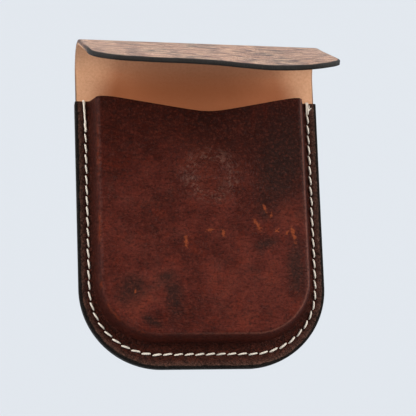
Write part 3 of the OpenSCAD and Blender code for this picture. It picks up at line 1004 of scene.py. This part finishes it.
lights = dict(
    key=dict(place=(0.0, 0.75, 0.75), size=(0.9, 0.5), power=3.4, colour="#fff8f0"),
    left=dict(place=(-0.85, 0.25, 0.5), size=(0.5, 0.7), power=8.5, colour="#fffaf4"),
    right=dict(place=(0.85, 0.25, 0.5), size=(0.5, 0.7), power=9.0, colour="#fffaf4"),
    front=dict(place=(0.15, -0.8, 0.8), size=(0.9, 0.5), power=1.8, colour="#fffaf4"),
)
world = dict(colour="#e3e8ee", strength=0.2)  # soft sky


def makeLights():  # area lamps that face the object, and an even sky
    for name, light in lights.items():
        data = bpy.data.lights.new(name, "AREA")
        data.shape = "RECTANGLE"
        data.size, data.size_y = light["size"]
        data.energy = light["power"]
        data.color = linear(light["colour"])[:3]
        lamp = bpy.data.objects.new(name, data)
        place = Vector(light["place"])
        lamp.matrix_world = Matrix.Translation(place) @ place.to_track_quat("Z", "Y").to_matrix().to_4x4()
        bpy.context.scene.collection.objects.link(lamp)
    sky = bpy.data.worlds.new("softSky")
    sky.use_nodes = True
    shade = sky.node_tree.nodes["Background"]
    shade.inputs["Color"].default_value = linear(world["colour"])
    shade.inputs["Strength"].default_value = world["strength"]
    bpy.context.scene.world = sky
    bpy.context.scene.view_settings.view_transform = "Standard"


floorShape = dict(depth=600.0, flat=2400.0, sweep=1700.0)


def makeFloor():
    # flat disc that sweeps up at its far edge: radius and height follow a quarter circle past the flat part
    around = np.linspace(0, 2 * math.pi, 65)[:, None]
    a = np.linspace(0, math.pi / 2, 12)
    radius = np.concatenate([[1.0, 400.0, 1200.0], floorShape["flat"] + floorShape["sweep"] * np.sin(a)])
    height = np.concatenate([[0, 0, 0], floorShape["sweep"] * (1 - np.cos(a))]) - floorShape["depth"]
    grid = np.stack([np.cos(around) * radius, np.sin(around) * radius, height + 0 * around], -1)
    points = grid.reshape(-1, 3)
    index = np.arange(len(points)).reshape(grid.shape[:2])
    floor = makeMesh("floor", points, quadsOf(index, flip=True), {}, points[:, :2])
    floor.data.materials.append(paleFloor())


# All of it put together.

makeCamera()
makeLights()
makeFloor()
print("stage: camera, lights and floor")

frontHide = hideFront()
foldedHide = hideBack()
lining = liningLeather()
thread = waxedThread()
steel = platedSteel()
print("materials: made")


def finish(piece, material, nodes, body=None):
    # gives a piece its material and slot, hides the CAD parts it stands for, and parents it to the body it
    # follows or bakes it in place
    piece.data.materials.append(material)
    if body:
        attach(piece, body)
    else:
        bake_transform(piece)
    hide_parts(*nodes)


shell = frontLayer("frontShell", 0.0, case["hide"], (150, 60, 44))
finish(shell, frontHide, ["front_hide"], "case")
inside = frontLayer("frontLining", case["hide"] + case["glue"], case["lining"] - case["glue"], (70, 30, 16),
                    flangeRows=8, detail=False)
finish(inside, lining, ["front_lining"], "case")
print("front: made")

splits = (0.0, 1 / 3, 2 / 3)  # where the back, the bend and the flap begin, as shares of the bend
sheets = (  # from the outside in; edges are how far the bend's and the flap's cut edges are rounded over
    dict(name="hide", depth=0.0, thickness=case["backHide"], material=foldedHide,
         slots=("hide_leather", "flap_leather"), counts=(190, 60, 44), edges=(0.3, 0.35)),
    dict(name="lining", depth=case["backHide"] + 0.02, thickness=case["lining"] - 0.02, material=lining,
         slots=("lining_leather", "lining_leather"), counts=(110, 30, 16), edges=(0.0, 0.0)),
)
for sheet in sheets:
    name, material, slots = sheet["name"], sheet["material"], sheet["slots"]
    across = (sheet["depth"], sheet["thickness"])
    panel = backLayer(name + "Back", *across, sheet["counts"], splits[1], detail=name == "hide")
    finish(panel, material, ["back_" + name])
    strip = stripLayer(name + "Bend", *across, splits[1], splits[2], drop=sheet["edges"][0])
    finish(strip, material, ["bend_lower_" + name])
    cover = stripLayer(name + "Flap", *across, splits[2], 2.0, columns=180, rows=90, drop=sheet["edges"][1])
    finish(cover, material, ["bend_upper_" + name, "flap_" + name])
print("back, bend and flap: made")

magnet = dict(
    radius=5.0, thick=0.65,
    depth=0.48,        # in from the outer face of the hide
    run=36.8,          # up the flap from the end of the bend
)


def makeMagnet():
    # thin disc between the flap's hide and its lining, bent with it: rings of growing radius on both
    # faces, closed into one ring of quads
    a = np.linspace(0, 2 * math.pi, 49)[:-1, None]
    r = np.linspace(0.02, magnet["radius"], 7)
    x, run = np.cos(a) * r, bend["start"] + arcLength + magnet["run"] + np.sin(a) * r
    top, bottom = (bendPlace(x, run, np.full_like(x, magnet["depth"] + t)) for t in (0.0, magnet["thick"]))
    rim = np.concatenate([top, bottom[:, ::-1]], 1)
    index = np.arange(rim.shape[0] * rim.shape[1]).reshape(rim.shape[:2])
    ring = np.vstack([index, index[:1]])
    ring = np.hstack([ring, ring[:, :1]])
    points = rim.reshape(-1, 3)
    return makeMesh("flapMagnet", points, quadsOf(ring), {}, points[:, :2])


finish(makeMagnet(), steel, ["flap_magnet"], "flap")
finish(makeThread(), thread, ["seam_thread"], "case")
keeper = frame["nodes"]["front_keeper"]
keeper.data.materials.clear()
keeper.data.materials.append(steel)
print("thread and discs: made")
